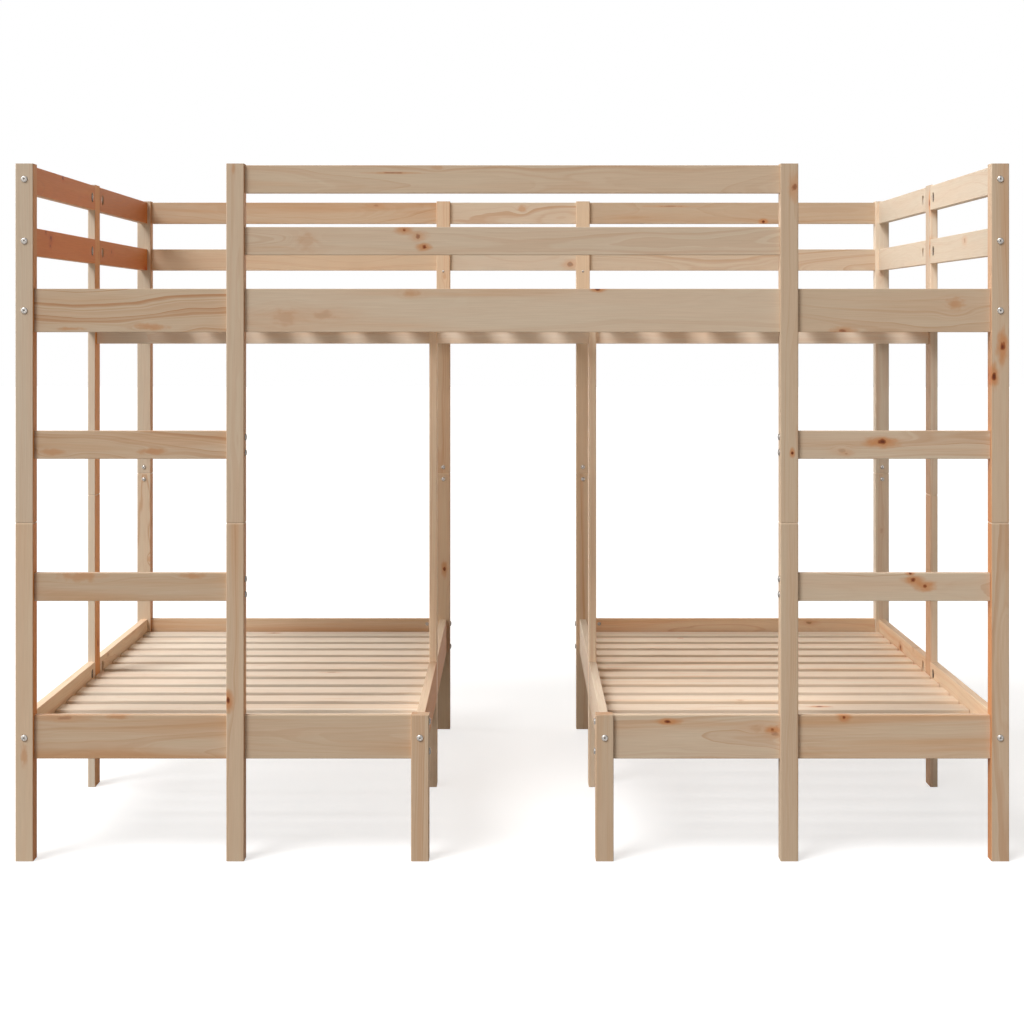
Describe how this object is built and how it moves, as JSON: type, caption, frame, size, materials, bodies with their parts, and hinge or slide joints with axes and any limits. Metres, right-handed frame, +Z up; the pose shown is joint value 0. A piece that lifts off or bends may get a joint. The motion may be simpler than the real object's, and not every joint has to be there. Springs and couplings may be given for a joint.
{
  "type": "triple bunk bed",
  "caption": "Pine bunk bed with one wide bed above two narrow ones, an aisle between them, a ladder at each end of the front, slatted bases and guard rails all round.",
  "frame": {"origin": "on the floor, under the middle of the bed's outline", "axes": "+X along the wide bed to the right, +Y from the front with its ladders to the back, +Z up"},
  "size_m": [2.055, 1.462, 1.443],
  "materials": {
    "frame_pine": "planed and sanded pine, left unfinished, with knots and growth rings",
    "slat_pine": "planed pine, left unfinished, paler than the frame",
    "bright_steel": "bright zinc plate on button-head bolts",
    "zinc_steel": "zinc plate, dull",
    "beech_dowel": "plain beech dowel"
  },
  "bodies": {
    "root": {"centre_beam": "frame_pine", "frame_bolts": "bright_steel", "front_guard_rails": "frame_pine", "front_left_post_lower": "frame_pine", "front_left_post_upper": "frame_pine", "front_right_post_lower": "frame_pine", "front_right_post_upper": "frame_pine", "front_upper_rail_left": "frame_pine", "front_upper_rail_middle": "frame_pine", "front_upper_rail_right": "frame_pine", "left_bed_front_rails": "frame_pine", "left_bed_inner_rails": "frame_pine", "left_bed_outer_rails": "frame_pine", "left_bed_rear_rail": "frame_pine", "left_bed_slats": "slat_pine", "left_guard_rails": "frame_pine", "left_inner_mid_post": "frame_pine", "left_ladder_post_lower": "frame_pine", "left_ladder_post_upper": "frame_pine", "left_ladder_rungs": "frame_pine", "left_mid_post_lower": "frame_pine", "left_mid_post_upper": "frame_pine", "left_rear_inner_post_lower": "frame_pine", "left_rear_inner_post_upper": "frame_pine", "left_short_leg": "frame_pine", "left_upper_side_rails": "frame_pine", "mid_post_dowels": "beech_dowel", "mid_post_tie_rods": "zinc_steel", "pin_lock_screws": "zinc_steel", "post_joining_pins": "zinc_steel", "post_studs": "zinc_steel", "rear_guard_rails": "frame_pine", "rear_left_post_lower": "frame_pine", "rear_left_post_upper": "frame_pine", "rear_right_post_lower": "frame_pine", "rear_right_post_upper": "frame_pine", "rear_upper_rails": "frame_pine", "recessed_bolts": "zinc_steel", "right_bed_front_rails": "frame_pine", "right_bed_inner_rails": "frame_pine", "right_bed_outer_rails": "frame_pine", "right_bed_rear_rail": "frame_pine", "right_bed_slats": "slat_pine", "right_guard_rails": "frame_pine", "right_inner_mid_post": "frame_pine", "right_ladder_post_lower": "frame_pine", "right_ladder_post_upper": "frame_pine", "right_ladder_rungs": "frame_pine", "right_mid_post_lower": "frame_pine", "right_mid_post_upper": "frame_pine", "right_rear_inner_post_lower": "frame_pine", "right_rear_inner_post_upper": "frame_pine", "right_short_leg": "frame_pine", "right_upper_side_rails": "frame_pine", "slat_battens": "slat_pine", "upper_bed_slats": "slat_pine"}
  },
  "joints": []
}
